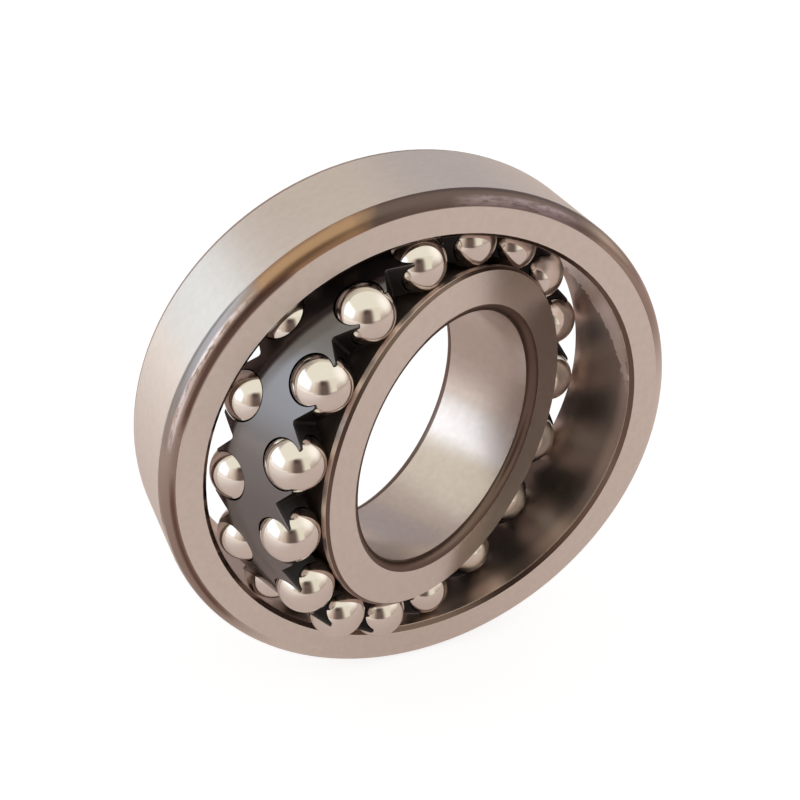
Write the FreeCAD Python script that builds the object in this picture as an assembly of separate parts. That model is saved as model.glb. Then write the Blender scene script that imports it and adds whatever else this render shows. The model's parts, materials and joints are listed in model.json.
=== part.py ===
"""Double-row self-aligning ball bearing, shown with its inner ring, cage and balls swivelled in the outer ring.

The origin is the centre of the spherical raceway, halfway through the outer ring.
+Y is the outer ring's axis, from its front face to its back face, and +Z is up.
The inner ring, cage and balls are modelled in line with the outer ring, and then turned together about Z.
"""
import FreeCAD, Part
import math
import os

# Driving dimensions in millimetres and degrees

# Overall size
bore_diameter = 40.0
outside_diameter = 80.0
width = 18.0

# Outer ring
outer_corner_radius = 2.0
mouth_chamfer = 0.65

# Balls
ball_diameter = 8.334
gap_between_balls = 2.6
gap_between_rows = 1.46
first_ball_angle = -6.1
running_clearance = 0.04

# Inner ring
groove_conformity = 0.52
shoulder_height = 1.15
shoulder_chamfer = 0.45
bore_corner_radius = 1.4

# Cage
cage_raceway_gap = 2.1
cage_shoulder_gap = 0.6
cage_edge_radius = 0.25
pocket_clearance = 0.15
pocket_set_back = 0.08
horn_reach = 2.3
horn_tip_width = 0.55
notch_depth = 2.55
notch_root_radius = 0.5

# Pose
swivel_angle = 26.5

# Sizes that follow from the driving dimensions
half_width = width / 2
bore_radius = bore_diameter / 2
outside_radius = outside_diameter / 2
ball_radius = ball_diameter / 2
row_offset = ball_radius + gap_between_rows / 2
pitch_radius = (bore_radius + outside_radius) / 2
balls_per_row = math.floor(2 * math.pi * pitch_radius / (ball_diameter + gap_between_balls))
ball_pitch = 360 / balls_per_row
ball_reach = math.hypot(pitch_radius, row_offset)
contact_angle = math.asin(row_offset / ball_reach)
raceway_radius = ball_reach + ball_radius + running_clearance
groove_radius = groove_conformity * ball_diameter
groove_centre_reach = ball_reach - ball_radius - running_clearance + groove_radius
groove_centre_radius = groove_centre_reach * math.cos(contact_angle)
groove_centre_offset = groove_centre_reach * math.sin(contact_angle)
groove_bottom_radius = groove_centre_radius - groove_radius
shoulder_radius = groove_bottom_radius + shoulder_height
cage_inner_radius = shoulder_radius + cage_shoulder_gap
cage_outer_radius = raceway_radius - cage_raceway_gap
cage_half_length = row_offset + horn_reach
pocket_radius = ball_radius + pocket_clearance
pocket_offset = row_offset - pocket_set_back

CENTRE = FreeCAD.Vector(0, 0, 0)
RING_AXIS = FreeCAD.Vector(0, 1, 0)
UP = FreeCAD.Vector(0, 0, 1)
FRONT = -1
BACK = 1


def section_point(radius, axial):
    """A point of a ring's half section, given by its radius and its place along the ring's axis."""
    return FreeCAD.Vector(radius, axial, 0)


def line(start, end):
    return Part.LineSegment(start, end).toShape()


def arc(start, middle, end):
    return Part.Arc(start, middle, end).toShape()


def revolve(edges):
    """Turn a closed half section into a full ring about the ring axis."""
    return Part.Face(Part.Wire(edges)).revolve(CENTRE, RING_AXIS, 360)


def corner_arc(radius, face_distance, corner_radius, side, outward):
    """A quarter round between a side face and a cylinder, from the face to the cylinder.

    outward is 1 where the corner is on the outside of the ring and -1 where it is in the bore.
    """
    centre_radius = radius - outward * corner_radius
    centre_axial = side * (face_distance - corner_radius)
    diagonal = corner_radius * math.sqrt(0.5)
    on_face = section_point(centre_radius, side * face_distance)
    middle = section_point(centre_radius + outward * diagonal, centre_axial + side * diagonal)
    on_cylinder = section_point(radius, centre_axial)
    return on_face, middle, on_cylinder


def make_outer_ring():
    """Plain cylinder outside with rounded corners, and one spherical raceway across the whole width inside."""
    raceway_end = half_width - mouth_chamfer
    raceway_end_radius = math.sqrt(raceway_radius ** 2 - raceway_end ** 2)
    mouth_radius = raceway_end_radius + mouth_chamfer
    front_face, front_middle, front_rim = corner_arc(outside_radius, half_width, outer_corner_radius, FRONT, 1)
    back_face, back_middle, back_rim = corner_arc(outside_radius, half_width, outer_corner_radius, BACK, 1)
    front_mouth = section_point(mouth_radius, -half_width)
    back_mouth = section_point(mouth_radius, half_width)
    front_raceway = section_point(raceway_end_radius, -raceway_end)
    back_raceway = section_point(raceway_end_radius, raceway_end)
    return revolve([
        line(front_mouth, front_face),
        arc(front_face, front_middle, front_rim),
        line(front_rim, back_rim),
        arc(back_rim, back_middle, back_face),
        line(back_face, back_mouth),
        line(back_mouth, back_raceway),
        arc(back_raceway, section_point(raceway_radius, 0), front_raceway),
        line(front_raceway, front_mouth),
    ])


def make_inner_ring():
    """Cylindrical bore with rounded corners, and two ball grooves with a rib between and a shoulder at each end."""
    groove_half_width = math.sqrt(groove_radius ** 2 - (groove_centre_radius - shoulder_radius) ** 2)
    groove_inner_edge = groove_centre_offset - groove_half_width
    groove_outer_edge = groove_centre_offset + groove_half_width
    front_face, front_middle, front_bore = corner_arc(bore_radius, half_width, bore_corner_radius, FRONT, -1)
    back_face, back_middle, back_bore = corner_arc(bore_radius, half_width, bore_corner_radius, BACK, -1)

    def shoulder(side):
        """The points of one end's face edge, land and groove, from the face towards the middle."""
        return (
            section_point(shoulder_radius - shoulder_chamfer, side * half_width),
            section_point(shoulder_radius, side * (half_width - shoulder_chamfer)),
            section_point(shoulder_radius, side * groove_outer_edge),
            section_point(groove_bottom_radius, side * groove_centre_offset),
            section_point(shoulder_radius, side * groove_inner_edge),
        )

    front_edge, front_land, front_groove_out, front_groove_bottom, front_groove_in = shoulder(FRONT)
    back_edge, back_land, back_groove_out, back_groove_bottom, back_groove_in = shoulder(BACK)
    return revolve([
        line(front_face, front_edge),
        line(front_edge, front_land),
        line(front_land, front_groove_out),
        arc(front_groove_out, front_groove_bottom, front_groove_in),
        line(front_groove_in, back_groove_in),
        arc(back_groove_in, back_groove_bottom, back_groove_out),
        line(back_groove_out, back_land),
        line(back_land, back_edge),
        line(back_edge, back_face),
        arc(back_face, back_middle, back_bore),
        line(back_bore, front_bore),
        arc(front_bore, front_middle, front_face),
    ])


def row_angle(side, index):
    """The angle of a ball round the ring axis, from +X towards +Z. The rear row is staggered by half a pitch."""
    stagger = ball_pitch / 2 if side == BACK else 0
    return first_ball_angle + stagger + index * ball_pitch


def ball_centre(side, index):
    angle = math.radians(row_angle(side, index))
    return FreeCAD.Vector(pitch_radius * math.cos(angle), side * row_offset, pitch_radius * math.sin(angle))


def make_pocket(side, index):
    """A ball-shaped pocket, with its poles on the line out from the ring axis.

    It is set back from the ball towards the band, so that the ball rests against the horns.
    """
    ball = ball_centre(side, index)
    centre = FreeCAD.Vector(ball.x, side * pocket_offset, ball.z)
    outward = FreeCAD.Vector(ball.x, 0, ball.z)
    return Part.makeSphere(pocket_radius, centre, outward)


def make_notch(side, angle):
    """The V-shaped notch in the end of a prong, which leaves a pointed horn on each side of it."""
    half_pitch = math.radians(ball_pitch / 2)
    past_pocket_centre = cage_half_length - pocket_offset
    above_pocket_centre = cage_outer_radius - pitch_radius
    opening_at_end = math.sqrt(pocket_radius ** 2 - past_pocket_centre ** 2 - above_pocket_centre ** 2)
    mouth_half_width = cage_outer_radius * math.sin(half_pitch) - opening_at_end - horn_tip_width
    root_centre = cage_half_length - notch_depth + notch_root_radius
    mouth_drop = cage_half_length - root_centre

    # Each side wall runs from the mouth's corner and meets the root's round as a tangent
    corner_distance = math.hypot(mouth_half_width, mouth_drop)
    corner_angle = math.atan2(mouth_drop, mouth_half_width)
    tangent_angle = corner_angle - math.acos(notch_root_radius / corner_distance)
    tangent_across = notch_root_radius * math.cos(tangent_angle)
    tangent_along = root_centre + notch_root_radius * math.sin(tangent_angle)
    overrun = notch_root_radius
    start_radius = cage_inner_radius - overrun
    depth = cage_outer_radius - cage_inner_radius + 2 * overrun

    def corner(across, along):
        return FreeCAD.Vector(across, side * along, start_radius)

    outline = Part.Wire([
        line(corner(-mouth_half_width, cage_half_length), corner(-tangent_across, tangent_along)),
        arc(
            corner(-tangent_across, tangent_along),
            corner(0, cage_half_length - notch_depth),
            corner(tangent_across, tangent_along),
        ),
        line(corner(tangent_across, tangent_along), corner(mouth_half_width, cage_half_length)),
        line(corner(mouth_half_width, cage_half_length), corner(mouth_half_width, cage_half_length + overrun)),
        line(
            corner(mouth_half_width, cage_half_length + overrun),
            corner(-mouth_half_width, cage_half_length + overrun),
        ),
        line(corner(-mouth_half_width, cage_half_length + overrun), corner(-mouth_half_width, cage_half_length)),
    ])
    notch = Part.Face(outline).extrude(FreeCAD.Vector(0, 0, depth))

    # The notch is drawn straight up the ring, and turned round the ring axis to its prong
    notch.rotate(CENTRE, RING_AXIS, 90 - angle)
    return notch


def make_cage():
    """One-piece snap cage: a band between the rows, and prongs whose horns hold the balls in open pockets."""
    front_end, front_middle, front_rim = corner_arc(
        cage_outer_radius, cage_half_length, cage_edge_radius, FRONT, 1
    )
    back_end, back_middle, back_rim = corner_arc(cage_outer_radius, cage_half_length, cage_edge_radius, BACK, 1)
    front_inside = section_point(cage_inner_radius, -cage_half_length)
    back_inside = section_point(cage_inner_radius, cage_half_length)
    band = revolve([
        line(front_inside, front_end),
        arc(front_end, front_middle, front_rim),
        line(front_rim, back_rim),
        arc(back_rim, back_middle, back_end),
        line(back_end, back_inside),
        line(back_inside, front_inside),
    ])
    cuts = []
    for side in (FRONT, BACK):
        for index in range(balls_per_row):
            cuts.append(make_pocket(side, index))
            cuts.append(make_notch(side, row_angle(side, index) + ball_pitch / 2))
    return band.cut(cuts)


def swivelled(shape):
    """Turn a piece of the inner assembly to the swivelled pose."""
    turned = shape.copy()
    turned.rotate(CENTRE, UP, swivel_angle)
    return turned


def export(shape, node):
    if shape.ShapeType != "Solid":
        shape = shape.Solids[0]
    shape.exportStep(os.path.join("parts", node + ".step"))


os.makedirs("parts", exist_ok=True)
export(make_outer_ring(), "outer_ring")
export(swivelled(make_inner_ring()), "inner_ring")
export(swivelled(make_cage()), "cage")
for row_name, side in (("front", FRONT), ("rear", BACK)):
    for index in range(balls_per_row):
        ball = Part.makeSphere(ball_radius, ball_centre(side, index))
        export(swivelled(ball), "ball_{}_{:02d}".format(row_name, index + 1))
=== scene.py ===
"""The finish, light and camera of a double-row self-aligning ball bearing.

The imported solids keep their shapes. This script gives them their surfaces: ground, honed and turned bearing
steel, polished balls and a moulded cage. Sizes are in metres, and the frame is the model's own: +Y runs along
the outer ring's axis to the back, +Z is up, and the origin is the centre of the spherical raceway.
"""
import json
import math
from collections import namedtuple

import bpy
from mathutils import Matrix, Vector


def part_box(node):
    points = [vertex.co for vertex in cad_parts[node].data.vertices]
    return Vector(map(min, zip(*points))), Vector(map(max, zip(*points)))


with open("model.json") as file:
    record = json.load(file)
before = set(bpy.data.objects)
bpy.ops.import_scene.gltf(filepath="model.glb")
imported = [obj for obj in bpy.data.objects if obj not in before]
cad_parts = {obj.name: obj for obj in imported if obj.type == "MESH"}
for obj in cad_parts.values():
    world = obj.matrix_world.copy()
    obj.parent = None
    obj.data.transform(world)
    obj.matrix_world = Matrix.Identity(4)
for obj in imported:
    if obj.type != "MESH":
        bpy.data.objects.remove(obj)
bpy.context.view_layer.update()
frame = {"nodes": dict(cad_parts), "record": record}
MM = 0.001

# Sizes read from the frame
MOUNTS = {mount["name"]: mount for mount in frame["record"]["mounts"]}
OUTSIDE_RADIUS = MOUNTS["outer_seat"]["dims"]["r_mm"] * MM
HALF_WIDTH = MOUNTS["back_face"]["pos_m"][1]
INNER_AXIS = Vector(MOUNTS["bore"]["axis"])
SWIVEL = math.atan2(-INNER_AXIS.x, INNER_AXIS.y)
FLOOR_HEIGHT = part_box("outer_ring")[0].z
CAGE_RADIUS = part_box("cage")[1].z

# Camera, fitted to the edges of the two rings in the 800 x 800 photograph
IMAGE_WIDTH = 800
FOCAL_LENGTH_IN_PIXELS = 1347.3
SENSOR_WIDTH_MM = 36.0
CAMERA_YAW = math.radians(23.75)
CAMERA_ELEVATION = math.radians(31.78)
CAMERA_ROLL = math.radians(2.08)
CAMERA_DISTANCE = 0.2042
CAMERA_CLIP_START = 0.01
TARGET_RIGHT = -0.001015
TARGET_UP = 0.002749

# Bearing steel, by the way each surface was finished. Some colours also carry painted light and shade, as the
# comments on them say.
STEEL = (0.80, 0.765, 0.725)
BORE_STEEL = (0.64, 0.58, 0.545)
# Painted shade: the honed track's steel is darkened for the dark inside of the ring, and its edge colour is
# lighter
SHADED_TRACK_STEEL = (0.38, 0.325, 0.305)
LIT_TRACK_EDGE_STEEL = (0.66, 0.54, 0.49)
# Painted highlight: the bright patch on the raceway, brighter than any steel
TRACK_HIGHLIGHT_STEEL = (1.0, 0.93, 0.90)
TURNED_STEEL = (0.40, 0.32, 0.285)
# Partly a duller turned finish, partly painted shade: the chamfers on the outer ring's inner side and the
# inner ring's turned edges
DULL_SHADED_TURNED_STEEL = (0.175, 0.125, 0.105)
STRAW_STEEL = (0.43, 0.275, 0.17)
BROWN_STEEL = (0.145, 0.108, 0.10)
DARK_STEEL = (0.18, 0.115, 0.095)
# Violet temper tint, laid in bright flecks that are painted glints
VIOLET_STEEL = (0.32, 0.26, 0.29)
# Painted highlight: the window's glints along the front corner's turning marks
PAINTED_GLINT_STEEL = (0.66, 0.60, 0.61)
GREY_STEEL = (0.25, 0.23, 0.225)
TRACK_ROUGHNESS = 0.34
TURNED_ROUGHNESS = 0.17
STAIN_ROUGHNESS = 0.32
BALL_ROUGHNESS = 0.085

# What a steel's colour is multiplied by in turned clouds, on worn places and in a ball's haze
CLOUD_SHADE = 0.86
WEAR_TINT = (0.95, 0.95, 0.95)
HAZE_SHADE = 0.96

# The track goes from its dark middle to its lighter edge colour between these two parts of its half width:
# painted shade inside the ring, lifting towards the track's edges
TRACK_EDGE_START = 0.45
TRACK_EDGE_END = 0.80

# The cage's polymer. Its skin is the glossy outside, and its walls are the pockets and notches. The walls
# carry painted shade: black deep inside, greyer near the outside.
SKIN_DEPTH = 0.12 * MM
WALL_SHADE_DEPTH = 0.8 * MM
SKIN_BLACK = (0.006, 0.005, 0.005)
SKIN_GREY = (0.013, 0.011, 0.011)
SHADED_WALL_BLACK = (0.004, 0.004, 0.004)
WALL_RIM_GREY = (0.045, 0.038, 0.040)
WALL_ROUGHNESS = 0.38
SKIN_ROUGHNESS = 0.14, 0.20
WALL_SPECULAR = 0.10
SKIN_SPECULAR = 0.78
CAGE_IOR = 2.0
CAGE_TINT = (1.0, 0.96, 0.98, 1.0)

# Noises, as scale, detail and roughness. Their values mostly stay in 0.3 to 0.7.
TOOL_LINES = 9000.0, 3.0, 0.6
TOOL_BANDS = 1400.0, 2.0, 0.5
FLECKS = 2400.0, 2.0, 0.6
CLOUDS = 90.0, 3.0, 0.5
MOTTLE = 900.0, 2.0, 0.5
WAVES = 260.0, 2.0, 0.5
HAZE = 420.0, 4.0, 0.6
GRAIN = 5200.0, 3.0, 0.6
FLOW = 160.0, 3.0, 0.55
RIPPLE = 420.0, 2.0, 0.5

# How far a noise grows for each radian round a ring. The less it grows, the longer its streaks are.
TOOL_STREAK = 1.2 * MM
FLECK_STREAK = 9.0 * MM

# A mark on the outer ring's front corner. start and end are angles round the ring, in degrees from +X towards
# +Z. low and high are its place across the corner, from 0 at the seat to 1 at the face. The last two say how
# far its ends and its sides fade.
Mark = namedtuple("Mark", "start end low high soft_angle soft_bend")
# Painted light: full bright steel where the corner shows lit, along its bottom and right, and on its seat
# side low on the left
PAINTED_LIT_ARC = Mark(-138, 14, 0.0, 1.0, soft_angle=12, soft_bend=0.04)
PAINTED_LIT_EDGE = Mark(188, 226, -0.1, 0.28, soft_angle=4, soft_bend=0.08)
BROWN_STAIN = Mark(52, 127, 0.0, 0.96, soft_angle=5, soft_bend=0.04)
STRAW_STAIN = Mark(107, 128, 0.0, 1.0, soft_angle=4, soft_bend=0.04)
# Violet temper tint and painted highlight: the violet flecks stand for glints, brighter than the stain around
# them
VIOLET_TINT_AND_GLINTS = Mark(57, 82, 0.50, 0.95, soft_angle=6, soft_bend=0.10)
DARK_BAND = Mark(127, 162, 0.78, 1.04, soft_angle=4, soft_bend=0.07)
LOW_DARK_BAND = Mark(177, 212, 0.72, 0.93, soft_angle=5, soft_bend=0.07)
# Painted highlight: bright flecks for the window's glints along the turning marks
PAINTED_GLINTS = Mark(133, 166, 0.43, 0.66, soft_angle=3, soft_bend=0.06)
GREY_EDGE = Mark(134, 166, -0.1, 0.38, soft_angle=5, soft_bend=0.06)
RAGGED_COSINE = 0.02

# The bright, ragged patch on the raceway is a painted highlight, in a colour brighter than steel. Its angles
# are the marks' less 90 degrees, as they are measured from the top. It ends near the front mouth, and its
# other edge falls back as it goes round the ring.
PATCH_START = math.radians(5 - 90)
PATCH_END = math.radians(42 - 90)
PATCH_SOFT_ANGLE = math.radians(4)
PATCH_MOUTH_END = 7.9 * MM
PATCH_EDGE = 6.7 * MM
PATCH_SLANT = 0.52 * MM / math.radians(1)
PATCH_FADE = 0.3 * MM
PATCH_RAGGED = 1.1 * MM

# How each ring is finished. seat_side is 1 where the seat is the ring's outside and -1 where it is the bore.
Ring = namedtuple(
    "Ring",
    "name swivel seat face seat_side seat_steel turned_steel track_half_width "
    "face_roughness turned_roughness marked",
)
OUTER_RING = Ring(
    name="outer_ring_steel", swivel=0.0, seat="outer_seat", face="front_face", seat_side=1,
    seat_steel=STEEL, turned_steel=TURNED_STEEL, track_half_width=HALF_WIDTH - 0.60 * MM,
    face_roughness=0.31, turned_roughness=TURNED_ROUGHNESS, marked=True,
)
INNER_RING = Ring(
    name="inner_ring_steel", swivel=SWIVEL, seat="bore", face="inner_front_face", seat_side=-1,
    seat_steel=BORE_STEEL, turned_steel=DULL_SHADED_TURNED_STEEL, track_half_width=HALF_WIDTH - 0.40 * MM,
    face_roughness=0.22, turned_roughness=2 * TURNED_ROUGHNESS, marked=False,
)

# The studio, as linear colours
WHITE = (1.0, 1.0, 1.0)
BLACK = (0.0, 0.0, 0.0)
WINDOW_LAMP = (0.94, 0.98, 1.0)
PANEL_LAMP = (1.0, 0.97, 0.92)
WINDOW_LIGHT = (2.10, 2.25, 2.45)
LOW_WINDOW_LIGHT = (1.30, 1.34, 1.38)
WINDOW_SIDE_LIGHT = (0.92, 0.97, 1.00)
LAMP_LIGHT = (1.24, 1.17, 1.07)
CREAM = (0.99, 0.945, 0.81)
DULL_CREAM = (0.92, 0.86, 0.71)
PALE_WALL = (1.02, 0.93, 0.83)
LOW_LEFT_WALL = (0.78, 0.65, 0.54)
LOW_RIGHT_WALL = (0.50, 0.40, 0.33)
BEIGE = (0.63, 0.54, 0.485)
SHADED_BEIGE = (0.49, 0.44, 0.44)
DARK_CLOTH = (0.15, 0.105, 0.09)
DARK_HAIR = (0.085, 0.058, 0.048)
BROWN_SLEEVE = (0.58, 0.45, 0.37)
MATT_FILL = 0.45

# The floor. The camera sees a pale floor that is lifted to white, and steel sees warm paper. The window's two
# glows on it each start and are full at a place to the left of the bearing.
FLOOR_REACH = 1.2
FLOOR_PALE = (0.35, 0.35, 0.35)
FLOOR_LIFT = (0.80, 0.80, 0.80)
PAPER = (0.55, 0.445, 0.41)
PAPER_GLOW = (0.25, 0.205, 0.185)
WINDOW_GLOW_ON_PAPER = (0.23, 0.25, 0.24)
GLOW_UNDER_WINDOW = (0.42, 0.43, 0.40)
NEAR_WINDOW = -0.03, -0.17
UNDER_WINDOW = -0.16, -0.45


class Graph:
    """A node tree, with a short call for each kind of node used here. Values are sockets or constants."""

    def __init__(self, tree):
        self.tree = tree

    def node(self, kind, **settings):
        made = self.tree.nodes.new(kind)
        for name, value in settings.items():
            setattr(made, name, value)
        return made

    def feed(self, socket, value):
        if isinstance(value, bpy.types.NodeSocket):
            self.tree.links.new(value, socket)
        elif hasattr(value, "__len__") and len(value) == 3 and socket.type == "RGBA":
            socket.default_value = (*value, 1.0)
        else:
            socket.default_value = value

    def feed_all(self, sockets, values):
        for socket, value in zip(sockets, values):
            self.feed(socket, value)

    def math(self, operation, *values):
        made = self.node("ShaderNodeMath", operation=operation)
        self.feed_all(made.inputs, values)
        return made.outputs[0]

    def either(self, first, second):
        return self.math("MAXIMUM", first, second)

    def both(self, first, second):
        return self.math("MULTIPLY", first, second)

    def without(self, first, second):
        return self.math("MULTIPLY", first, self.math("SUBTRACT", 1.0, second))

    def length(self, first, second):
        """The length of a line with these two legs."""
        squares = self.math("ADD", self.math("POWER", first, 2.0), self.math("POWER", second, 2.0))
        return self.math("SQRT", squares)

    def mix(self, factor, first, second):
        """A number between two numbers."""
        made = self.node("ShaderNodeMix", data_type="FLOAT")
        self.feed(made.inputs[0], factor)
        self.feed(made.inputs[2], first)
        self.feed(made.inputs[3], second)
        return made.outputs[0]

    def blend(self, factor, first, second, mode="MIX"):
        """A colour between two colours."""
        made = self.node("ShaderNodeMix", data_type="RGBA", blend_type=mode)
        self.feed(made.inputs[0], factor)
        self.feed(made.inputs[6], first)
        self.feed(made.inputs[7], second)
        return made.outputs[2]

    def place(self):
        """The point in the model's own frame."""
        return self.node("ShaderNodeTexCoord").outputs["Object"]

    def split(self, vector):
        made = self.node("ShaderNodeSeparateXYZ")
        self.feed(made.inputs[0], vector)
        return made.outputs

    def noise(self, vector, kind):
        made = self.node("ShaderNodeTexNoise")
        self.feed(made.inputs["Vector"], vector)
        self.feed_all([made.inputs[name] for name in ("Scale", "Detail", "Roughness")], kind)
        return made.outputs["Fac"]

    def spread(self, value, low, high, to_low=0.0, to_high=1.0):
        """A value's range stretched to another range, and held inside it."""
        made = self.node("ShaderNodeMapRange")
        self.feed_all(made.inputs, (value, low, high, to_low, to_high))
        return made.outputs[0]

    def ease(self, value, low, high):
        """0 at low, 1 at high, with a smooth start and end. low may be the larger of the two."""
        made = self.node("ShaderNodeMapRange", interpolation_type="SMOOTHSTEP")
        self.feed_all(made.inputs, (value, low, high, 0.0, 1.0))
        return made.outputs[0]

    def between(self, value, low, high, soft):
        """1 from low to high, with edges that fade over soft on each side."""
        return self.both(self.ease(value, low - soft, low + soft), self.ease(value, high + soft, high - soft))

    def bump(self, height, strength, distance, under=None):
        """A bumped normal, on top of the one under it."""
        made = self.node("ShaderNodeBump")
        self.feed(made.inputs["Height"], height)
        made.inputs["Strength"].default_value = strength
        made.inputs["Distance"].default_value = distance
        if under:
            self.feed(made.inputs["Normal"], under)
        return made.outputs[0]

    def shader(self, kind, colour):
        """A diffuse or emission shader node of one colour."""
        made = self.node(kind)
        self.feed(made.inputs["Color"], colour)
        return made

    def add_shaders(self, first, second):
        made = self.node("ShaderNodeAddShader")
        self.feed_all(made.inputs, (first, second))
        return made.outputs[0]

    def mix_shaders(self, factor, first, second):
        made = self.node("ShaderNodeMixShader")
        self.feed_all(made.inputs, (factor, first, second))
        return made.outputs[0]

    def finish_surface(self, surface):
        self.feed(self.node("ShaderNodeOutputMaterial").inputs["Surface"], surface)


def new_material(name):
    """An empty material, its graph and its surface shader."""
    material = bpy.data.materials.new(name)
    material.use_nodes = True
    graph = Graph(material.node_tree)
    return material, graph, material.node_tree.nodes["Principled BSDF"]


def bare_material(name):
    """A material without any node yet, and its graph."""
    material, graph, _ = new_material(name)
    material.node_tree.nodes.clear()
    return material, graph


def ring_coordinates(graph, swivel):
    """Places across, along and up for a ring whose axis is +Y turned by swivel about Z, and the radius."""
    turned = graph.node("ShaderNodeVectorRotate", rotation_type="Z_AXIS")
    graph.feed(turned.inputs["Vector"], graph.place())
    turned.inputs["Angle"].default_value = -swivel
    across, along, up = graph.split(turned.outputs[0])
    return across, along, up, graph.length(across, up)


def mark_cover(graph, coordinates, bend, ragged, mark):
    """How much of a mark is at a point. The angle is tested by its cosine from the middle of the mark."""
    across, _, up, radius = coordinates
    middle = math.radians((mark.start + mark.end) / 2)
    half = math.radians((mark.end - mark.start) / 2)
    soft = math.radians(mark.soft_angle)
    toward_x = graph.math("MULTIPLY", across, math.cos(middle))
    toward_z = graph.math("MULTIPLY", up, math.sin(middle))
    cosine = graph.math("DIVIDE", graph.math("ADD", toward_x, toward_z), radius)
    cosine = graph.math("ADD", cosine, ragged)
    near = graph.ease(cosine, math.cos(half + soft), math.cos(half - soft))
    return graph.both(near, graph.between(bend, mark.low, mark.high, mark.soft_bend))


def add_corner_marks(graph, coordinates, colour, finish, ragged, flecks):
    """Heat stains, dark bands, painted glints and painted light on the outer ring's front corner, laid over
    its colour and roughness.
    """
    _, along, _, radius = coordinates
    seat_end = MOUNTS["outer_seat"]["dims"]["length_mm"] / 2 * MM
    corner_radius = HALF_WIDTH - seat_end
    past_seat = graph.math("SUBTRACT", graph.math("MULTIPLY", along, -1.0), seat_end)
    past_centre = graph.math("SUBTRACT", radius, OUTSIDE_RADIUS - corner_radius)
    bend = graph.math("DIVIDE", graph.math("ARCTAN2", past_seat, past_centre), math.pi / 2)

    def cover(mark):
        return mark_cover(graph, coordinates, bend, ragged, mark)

    brown = cover(BROWN_STAIN)
    dark = graph.either(cover(DARK_BAND), cover(LOW_DARK_BAND))
    layers = (
        # Painted light: full bright steel where the corner shows lit
        (graph.either(cover(PAINTED_LIT_ARC), cover(PAINTED_LIT_EDGE)), STEEL),
        (brown, BROWN_STEEL),
        (cover(STRAW_STAIN), STRAW_STEEL),
        (dark, DARK_STEEL),
        (cover(GREY_EDGE), GREY_STEEL),
        # Violet temper tint in flecks that are painted glints
        (graph.both(cover(VIOLET_TINT_AND_GLINTS), graph.spread(flecks, 0.36, 0.56, to_low=0.3)), VIOLET_STEEL),
        # Painted highlight: the glints at the left of the corner
        (graph.both(cover(PAINTED_GLINTS), graph.spread(flecks, 0.40, 0.52)), PAINTED_GLINT_STEEL),
    )
    for amount, steel in layers:
        colour = graph.blend(amount, colour, steel)
    return colour, graph.mix(graph.either(brown, dark), finish, STAIN_ROUGHNESS)


def painted_highlight_patch(graph, along, from_top, on_track, mottle):
    """How much of the raceway's painted highlight is at a point."""
    in_arc = graph.between(from_top, PATCH_START, PATCH_END, PATCH_SOFT_ANGLE)
    uneven = graph.spread(mottle, 0.3, 0.7, -PATCH_RAGGED, PATCH_RAGGED)
    forward = graph.math("SUBTRACT", uneven, along)
    past_start = graph.math("SUBTRACT", from_top, PATCH_START)
    slanted = graph.math("ADD", forward, graph.math("MULTIPLY", past_start, PATCH_SLANT))
    inside_edge = graph.ease(slanted, PATCH_EDGE - PATCH_FADE, PATCH_EDGE + PATCH_FADE)
    inside_mouth = graph.ease(forward, PATCH_MOUTH_END + PATCH_FADE, PATCH_MOUTH_END - PATCH_FADE)
    return graph.both(graph.both(on_track, in_arc), graph.both(inside_edge, inside_mouth))


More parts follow.
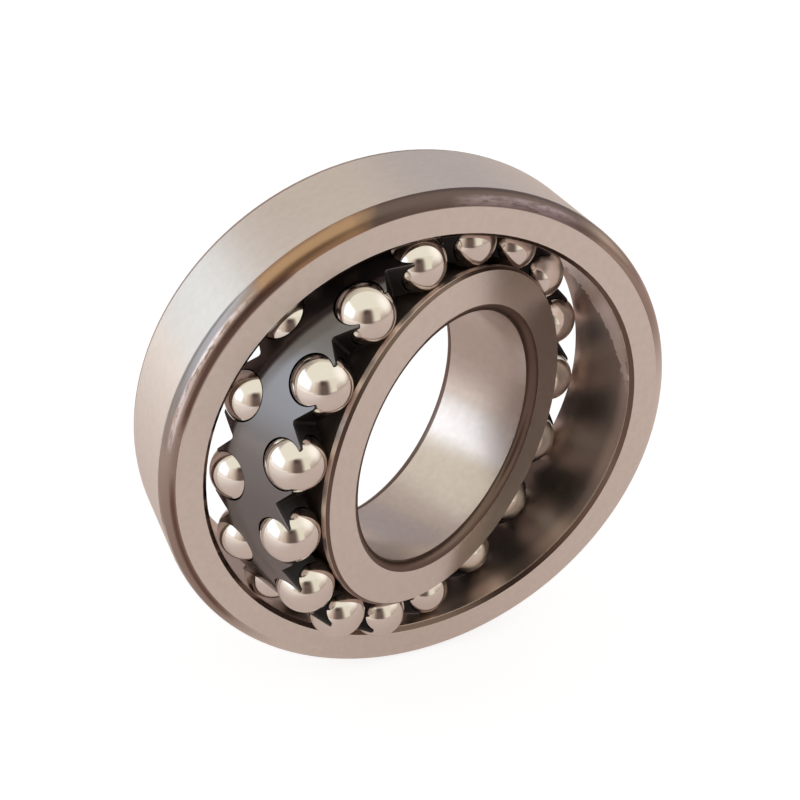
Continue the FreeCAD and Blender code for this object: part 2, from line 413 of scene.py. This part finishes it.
def ring_material(ring):
    """Bearing steel with a ground seat and faces, a honed track, and turned corners and chamfers.

    A marked ring also gets the painted highlight on its track, and the marks on its front corner, among them
    painted glints and painted light.
    """
    sliver = 0.004 * MM
    middle_radius = abs(MOUNTS[ring.face]["pos_m"][2])
    seat_half_length = MOUNTS[ring.seat]["dims"]["length_mm"] / 2 * MM
    material, graph, shader = new_material(ring.name)
    coordinates = ring_coordinates(graph, ring.swivel)
    across, along, up, radius = coordinates
    offset = graph.math("ABSOLUTE", along)

    beyond_middle = graph.math("GREATER_THAN", radius, middle_radius)
    seat_wall = beyond_middle if ring.seat_side == 1 else graph.math("SUBTRACT", 1.0, beyond_middle)
    on_face = graph.math("GREATER_THAN", offset, HALF_WIDTH - sliver)
    on_seat = graph.both(seat_wall, graph.math("LESS_THAN", offset, seat_half_length + sliver))
    on_track = graph.without(graph.math("LESS_THAN", offset, ring.track_half_width), seat_wall)
    finished = graph.either(graph.either(on_face, on_seat), on_track)

    # Lines left by the wheel and the tool run round the ring: fine across the line, long along it
    from_top = graph.math("ARCTAN2", graph.math("MULTIPLY", across, -1.0), up)

    def streaked(streak):
        """A point whose third part grows slowly round the ring, which draws a noise out along it."""
        made = graph.node("ShaderNodeCombineXYZ")
        graph.feed_all(made.inputs, (radius, along, graph.math("MULTIPLY", from_top, streak)))
        return made.outputs[0]

    lines = graph.noise(streaked(TOOL_STREAK), TOOL_LINES)
    bands = graph.noise(streaked(TOOL_STREAK), TOOL_BANDS)
    place = graph.place()
    clouds = graph.noise(place, CLOUDS)
    mottle = graph.noise(place, MOTTLE)
    waves = graph.noise(place, WAVES)

    darker = tuple(CLOUD_SHADE * part for part in ring.turned_steel)
    turned = graph.blend(graph.spread(clouds, 0.35, 0.7), ring.turned_steel, darker)
    # Turned steel off the seat side is the darker steel, partly painted shade
    turned = graph.blend(seat_wall, DULL_SHADED_TURNED_STEEL, turned)
    steel = graph.blend(on_seat, STEEL, ring.seat_steel)
    worn = graph.blend(1.0, steel, WEAR_TINT, "MULTIPLY")
    bright = graph.blend(graph.spread(mottle, 0.35, 0.7), steel, worn)
    edge_start = TRACK_EDGE_START * ring.track_half_width
    edge_end = TRACK_EDGE_END * ring.track_half_width
    # Painted shade on the track: darkest in its middle, lighter towards its edges
    near_edge = graph.ease(offset, edge_start, edge_end)
    track = graph.blend(near_edge, SHADED_TRACK_STEEL, LIT_TRACK_EDGE_STEEL)
    colour = graph.blend(finished, turned, graph.blend(on_track, bright, track))
    finish = graph.mix(on_track, ring.face_roughness, TRACK_ROUGHNESS)
    finish = graph.mix(finished, ring.turned_roughness, finish)
    if ring.marked:
        # Painted highlight on the track
        patch = painted_highlight_patch(graph, along, from_top, on_track, mottle)
        colour = graph.blend(patch, colour, TRACK_HIGHLIGHT_STEEL)
        ragged = graph.spread(clouds, 0.3, 0.7, -RAGGED_COSINE, RAGGED_COSINE)
        flecks = graph.noise(streaked(FLECK_STREAK), FLECKS)
        colour, finish = add_corner_marks(graph, coordinates, colour, finish, ragged, flecks)
    finish = graph.math("ADD", finish, graph.spread(clouds, 0.3, 0.7, to_low=-0.02, to_high=0.03))
    finish = graph.math("ADD", finish, graph.spread(bands, 0.35, 0.65, to_low=-0.01, to_high=0.015))

    line_height = graph.math("MULTIPLY", lines, graph.mix(on_track, 1.0, 0.15))
    wave_height = graph.without(waves, finished)
    fine = graph.bump(line_height, strength=0.12, distance=0.01 * MM)
    coarse = graph.bump(wave_height, strength=0.35, distance=0.08 * MM, under=fine)
    graph.feed(shader.inputs["Base Color"], colour)
    graph.feed(shader.inputs["Roughness"], finish)
    graph.feed(shader.inputs["Normal"], coarse)
    shader.inputs["Metallic"].default_value = 1.0
    return material


def ball_material():
    """Chromium steel, lapped to a mirror, with a trace of handling haze."""
    material, graph, shader = new_material("lapped_ball_steel")
    haze = graph.noise(graph.place(), HAZE)
    handled = tuple(HAZE_SHADE * part for part in STEEL)
    colour = graph.blend(graph.spread(haze, 0.3, 0.8), STEEL, handled)
    finish = graph.spread(haze, 0.35, 0.75, BALL_ROUGHNESS, 1.5 * BALL_ROUGHNESS)
    graph.feed(shader.inputs["Base Color"], colour)
    graph.feed(shader.inputs["Roughness"], finish)
    shader.inputs["Metallic"].default_value = 1.0
    return material


def cage_material():
    """Dark moulded polymer, glass-filled: a glossy skin, and duller walls in the pockets and notches with
    painted shade, black inside and greyer near the skin.
    """
    material, graph, shader = new_material("moulded_cage_polymer")
    _, _, _, radius = ring_coordinates(graph, SWIVEL)
    on_skin = graph.math("GREATER_THAN", radius, CAGE_RADIUS - SKIN_DEPTH)
    place = graph.place()
    grain = graph.noise(place, GRAIN)
    flow = graph.noise(place, FLOW)
    ripple = graph.noise(place, RIPPLE)
    skin_colour = graph.blend(graph.spread(flow, 0.3, 0.7), SKIN_BLACK, SKIN_GREY)
    # Painted shade: the walls go from black deep inside to grey near the outside
    wall_shade = graph.ease(radius, CAGE_RADIUS - WALL_SHADE_DEPTH, CAGE_RADIUS)
    wall_colour = graph.blend(wall_shade, SHADED_WALL_BLACK, WALL_RIM_GREY)
    skin_finish = graph.spread(flow, 0.3, 0.7, *SKIN_ROUGHNESS)
    fine = graph.bump(grain, strength=0.10, distance=0.02 * MM)
    wavy = graph.bump(ripple, strength=0.30, distance=0.05 * MM, under=fine)
    graph.feed(shader.inputs["Base Color"], graph.blend(on_skin, wall_colour, skin_colour))
    graph.feed(shader.inputs["Roughness"], graph.mix(on_skin, WALL_ROUGHNESS, skin_finish))
    graph.feed(shader.inputs["Specular IOR Level"], graph.mix(on_skin, WALL_SPECULAR, SKIN_SPECULAR))
    graph.feed(shader.inputs["Normal"], wavy)
    shader.inputs["IOR"].default_value = CAGE_IOR
    shader.inputs["Specular Tint"].default_value = CAGE_TINT
    return material


def paint(node, material):
    frame["nodes"][node].data.materials.clear()
    frame["nodes"][node].data.materials.append(material)


def paint_bearing():
    """Gives every solid its finish."""
    paint("outer_ring", ring_material(OUTER_RING))
    paint("inner_ring", ring_material(INNER_RING))
    paint("cage", cage_material())
    steel = ball_material()
    for node in frame["nodes"]:
        if node.startswith("ball_"):
            paint(node, steel)


def view_axes():
    """The camera's right, up and back directions, before its roll."""
    back = Vector((
        -math.sin(CAMERA_YAW) * math.cos(CAMERA_ELEVATION),
        -math.cos(CAMERA_YAW) * math.cos(CAMERA_ELEVATION),
        math.sin(CAMERA_ELEVATION),
    ))
    right = (-back).cross(Vector((0, 0, 1))).normalized()
    up = right.cross(-back)
    return right, up, back


def add_camera():
    right, up, back = view_axes()
    rolled_right = right * math.cos(CAMERA_ROLL) + up * math.sin(CAMERA_ROLL)
    rolled_up = up * math.cos(CAMERA_ROLL) - right * math.sin(CAMERA_ROLL)
    data = bpy.data.cameras.new("camera")
    data.sensor_width = SENSOR_WIDTH_MM
    data.lens = SENSOR_WIDTH_MM * FOCAL_LENGTH_IN_PIXELS / IMAGE_WIDTH
    data.clip_start = CAMERA_CLIP_START
    camera = bpy.data.objects.new("camera", data)
    bpy.context.scene.collection.objects.link(camera)
    target = rolled_right * TARGET_RIGHT + rolled_up * TARGET_UP
    turn = Matrix((rolled_right, rolled_up, back)).transposed()
    camera.matrix_world = Matrix.Translation(target + back * CAMERA_DISTANCE) @ turn.to_4x4()
    bpy.context.scene.camera = camera


def facing_origin(place):
    """A turn that points -Z from a place towards the origin."""
    return (-place).to_track_quat("-Z", "Y").to_matrix().to_4x4()


def toward(direction, distance):
    """The matrix of a card or lamp that stands in a direction from the bearing and faces it."""
    place = Vector(direction).normalized() * distance
    return Matrix.Translation(place) @ facing_origin(place)


def upright(heading, distance, middle_height):
    """The matrix of a wall with its middle at a compass heading from the bearing. 0 is -Y, and 90 is -X."""
    turn = math.radians(heading)
    place = Vector((-math.sin(turn) * distance, -math.cos(turn) * distance, 0))
    return Matrix.Translation((place.x, place.y, middle_height)) @ facing_origin(place)


def add_softbox(name, matrix, width, height, radiance, colour):
    """A soft light panel. Steel shows its reflection card instead, which has soft edges."""
    data = bpy.data.lights.new(name, "AREA")
    data.shape = "RECTANGLE"
    data.size = width
    data.size_y = height
    data.energy = radiance * math.pi * width * height
    data.color = colour
    lamp = bpy.data.objects.new(name, data)
    bpy.context.scene.collection.objects.link(lamp)
    lamp.matrix_world = matrix
    lamp.visible_camera = False
    lamp.visible_glossy = False


def add_sheet(name, reach, rise, height=0.0):
    """A flat sheet that goes reach to the sides and rise to the ends from its middle."""
    mesh = bpy.data.meshes.new(name)
    corners = [(-reach, -rise, height), (reach, -rise, height), (reach, rise, height), (-reach, rise, height)]
    mesh.from_pydata(corners, [], [(0, 1, 2, 3)])
    sheet = bpy.data.objects.new(name, mesh)
    bpy.context.scene.collection.objects.link(sheet)
    return sheet


def card_cover(graph, across, upward, reach, rise, soft, oval):
    """How solid a card is at a point, from 1 in its middle to 0 at its edge."""
    if oval:
        rim = graph.length(graph.math("DIVIDE", across, reach), graph.math("DIVIDE", upward, rise))
        return graph.ease(rim, 1.0, 1.0 - soft)
    from_side = graph.math("SUBTRACT", reach, graph.math("ABSOLUTE", across))
    from_end = graph.math("SUBTRACT", rise, graph.math("ABSOLUTE", upward))
    return graph.both(graph.ease(from_side, 0.0, soft), graph.ease(from_end, 0.0, soft))


def add_card(name, matrix, width, height, colour, soft=0.0, oval=False, low_colour=None):
    """A glowing card, seen only in reflections. soft is how far in from its edges it fades.

    In an oval card, soft is the part of its reach that fades. low_colour is the colour of the lower edge.
    """
    reach, rise = width / 2, height / 2
    card = add_sheet(name, reach, rise)
    card.matrix_world = matrix
    material, graph = bare_material(name)
    across, upward, _ = graph.split(graph.place())
    if low_colour:
        colour = graph.blend(graph.spread(upward, -rise, rise), low_colour, colour)
    surface = graph.shader("ShaderNodeEmission", colour).outputs[0]
    if soft:
        cover = card_cover(graph, across, upward, reach, rise, soft, oval)
        clear = graph.node("ShaderNodeBsdfTransparent").outputs[0]
        surface = graph.mix_shaders(cover, clear, surface)
    graph.finish_surface(surface)
    card.data.materials.append(material)
    card.visible_camera = False
    card.visible_diffuse = False
    card.visible_shadow = False
    card.visible_transmission = False


def add_floor():
    """A pale floor under the ring's rim.

    The camera sees it as white, with a soft shadow. Steel sees warm paper with the ring's shadow on it. Its
    left side has the glow of the window, and the more so the nearer the window is.
    """
    floor = add_sheet("floor", FLOOR_REACH, FLOOR_REACH, FLOOR_HEIGHT)
    material, graph = bare_material("floor_paper")
    path = graph.node("ShaderNodeLightPath")

    to_right, _, _ = graph.split(graph.place())
    lit = graph.blend(graph.ease(to_right, *NEAR_WINDOW), BLACK, WINDOW_GLOW_ON_PAPER)
    lit = graph.blend(graph.ease(to_right, *UNDER_WINDOW), lit, GLOW_UNDER_WINDOW)
    glow = graph.shader("ShaderNodeEmission", graph.blend(1.0, lit, PAPER_GLOW, "ADD"))
    graph.feed(glow.inputs["Strength"], path.outputs["Is Glossy Ray"])
    paper = graph.shader("ShaderNodeBsdfDiffuse", PAPER)
    unseen = graph.add_shaders(paper.outputs[0], glow.outputs[0])

    pale = graph.shader("ShaderNodeBsdfDiffuse", FLOOR_PALE)
    lift = graph.shader("ShaderNodeEmission", FLOOR_LIFT)
    seen = graph.add_shaders(pale.outputs[0], lift.outputs[0])
    graph.finish_surface(graph.mix_shaders(path.outputs["Is Camera Ray"], unseen, seen))
    floor.data.materials.append(material)


def light_world():
    """White where the camera, a reflection or clear glass looks, and a gentle fill for matt surfaces."""
    world = bpy.data.worlds.new("studio")
    world.use_nodes = True
    bpy.context.scene.world = world
    graph = Graph(world.node_tree)
    background = world.node_tree.nodes["Background"]
    graph.feed(background.inputs["Color"], WHITE)
    path = graph.node("ShaderNodeLightPath")
    looked_at = graph.either(path.outputs["Is Camera Ray"], path.outputs["Is Glossy Ray"])
    looked_at = graph.either(looked_at, path.outputs["Is Transmission Ray"])
    graph.feed(background.inputs["Strength"], graph.mix(looked_at, MATT_FILL, 1.0))


def build_studio():
    """A room with a window on the left, a lamp on the right and someone in dark clothes by the camera."""
    light_world()
    add_floor()
    window = toward((-0.912, 0.332, 0.242), distance=0.60)
    lamp = toward((0.786, -0.139, 0.602), distance=0.55)
    add_softbox("window_light", window, width=1.00, height=0.55, radiance=1.4, colour=WINDOW_LAMP)
    add_softbox("lamp_light", lamp, width=0.60, height=0.40, radiance=1.2, colour=PANEL_LAMP)

    add_card(
        "window_card", upright(heading=104, distance=0.60, middle_height=0.22),
        width=1.24, height=0.66, colour=WINDOW_LIGHT, soft=0.26, low_colour=LOW_WINDOW_LIGHT,
    )
    add_card(
        "window_side_card", toward((-0.55, 0.815, 0.17), distance=0.57),
        width=0.56, height=0.44, colour=WINDOW_SIDE_LIGHT, soft=0.8, oval=True,
    )
    add_card(
        "lamp_card", toward((0.83, -0.15, 0.50), distance=0.55),
        width=0.80, height=0.84, colour=LAMP_LIGHT, soft=0.9, oval=True,
    )

    add_card("ceiling_card", toward((0, -0.12, 1.0), distance=0.90), width=3.0, height=1.3, colour=CREAM)
    add_card(
        "back_wall_card", upright(heading=180, distance=0.62, middle_height=0.50),
        width=2.4, height=1.10, colour=BEIGE,
    )
    add_card(
        "back_corner_card", upright(heading=-142, distance=0.60, middle_height=0.40),
        width=0.80, height=0.90, colour=SHADED_BEIGE, soft=0.2,
    )
    add_card(
        "left_wall_card", upright(heading=72, distance=0.90, middle_height=0.23),
        width=1.1, height=0.55, colour=PALE_WALL, low_colour=LOW_LEFT_WALL,
    )
    add_card(
        "right_wall_card", upright(heading=-75, distance=0.90, middle_height=0.23),
        width=1.7, height=0.55, colour=PALE_WALL, low_colour=LOW_RIGHT_WALL,
    )
    add_card(
        "front_wall_card", upright(heading=0, distance=1.00, middle_height=0.50),
        width=3.0, height=1.10, colour=DULL_CREAM,
    )

    add_card(
        "sleeve", upright(heading=33, distance=0.38, middle_height=0.10),
        width=0.30, height=0.48, colour=BROWN_SLEEVE, soft=0.14,
    )
    add_card(
        "dark_clothes", upright(heading=13, distance=0.35, middle_height=0.12),
        width=0.38, height=0.54, colour=DARK_CLOTH, soft=0.14,
    )
    add_card(
        "dark_hair", upright(heading=18, distance=0.34, middle_height=0.23),
        width=0.20, height=0.20, colour=DARK_HAIR, soft=0.8, oval=True,
    )


add_camera()
paint_bearing()
build_studio()
bpy.context.scene.view_settings.view_transform = "Standard"
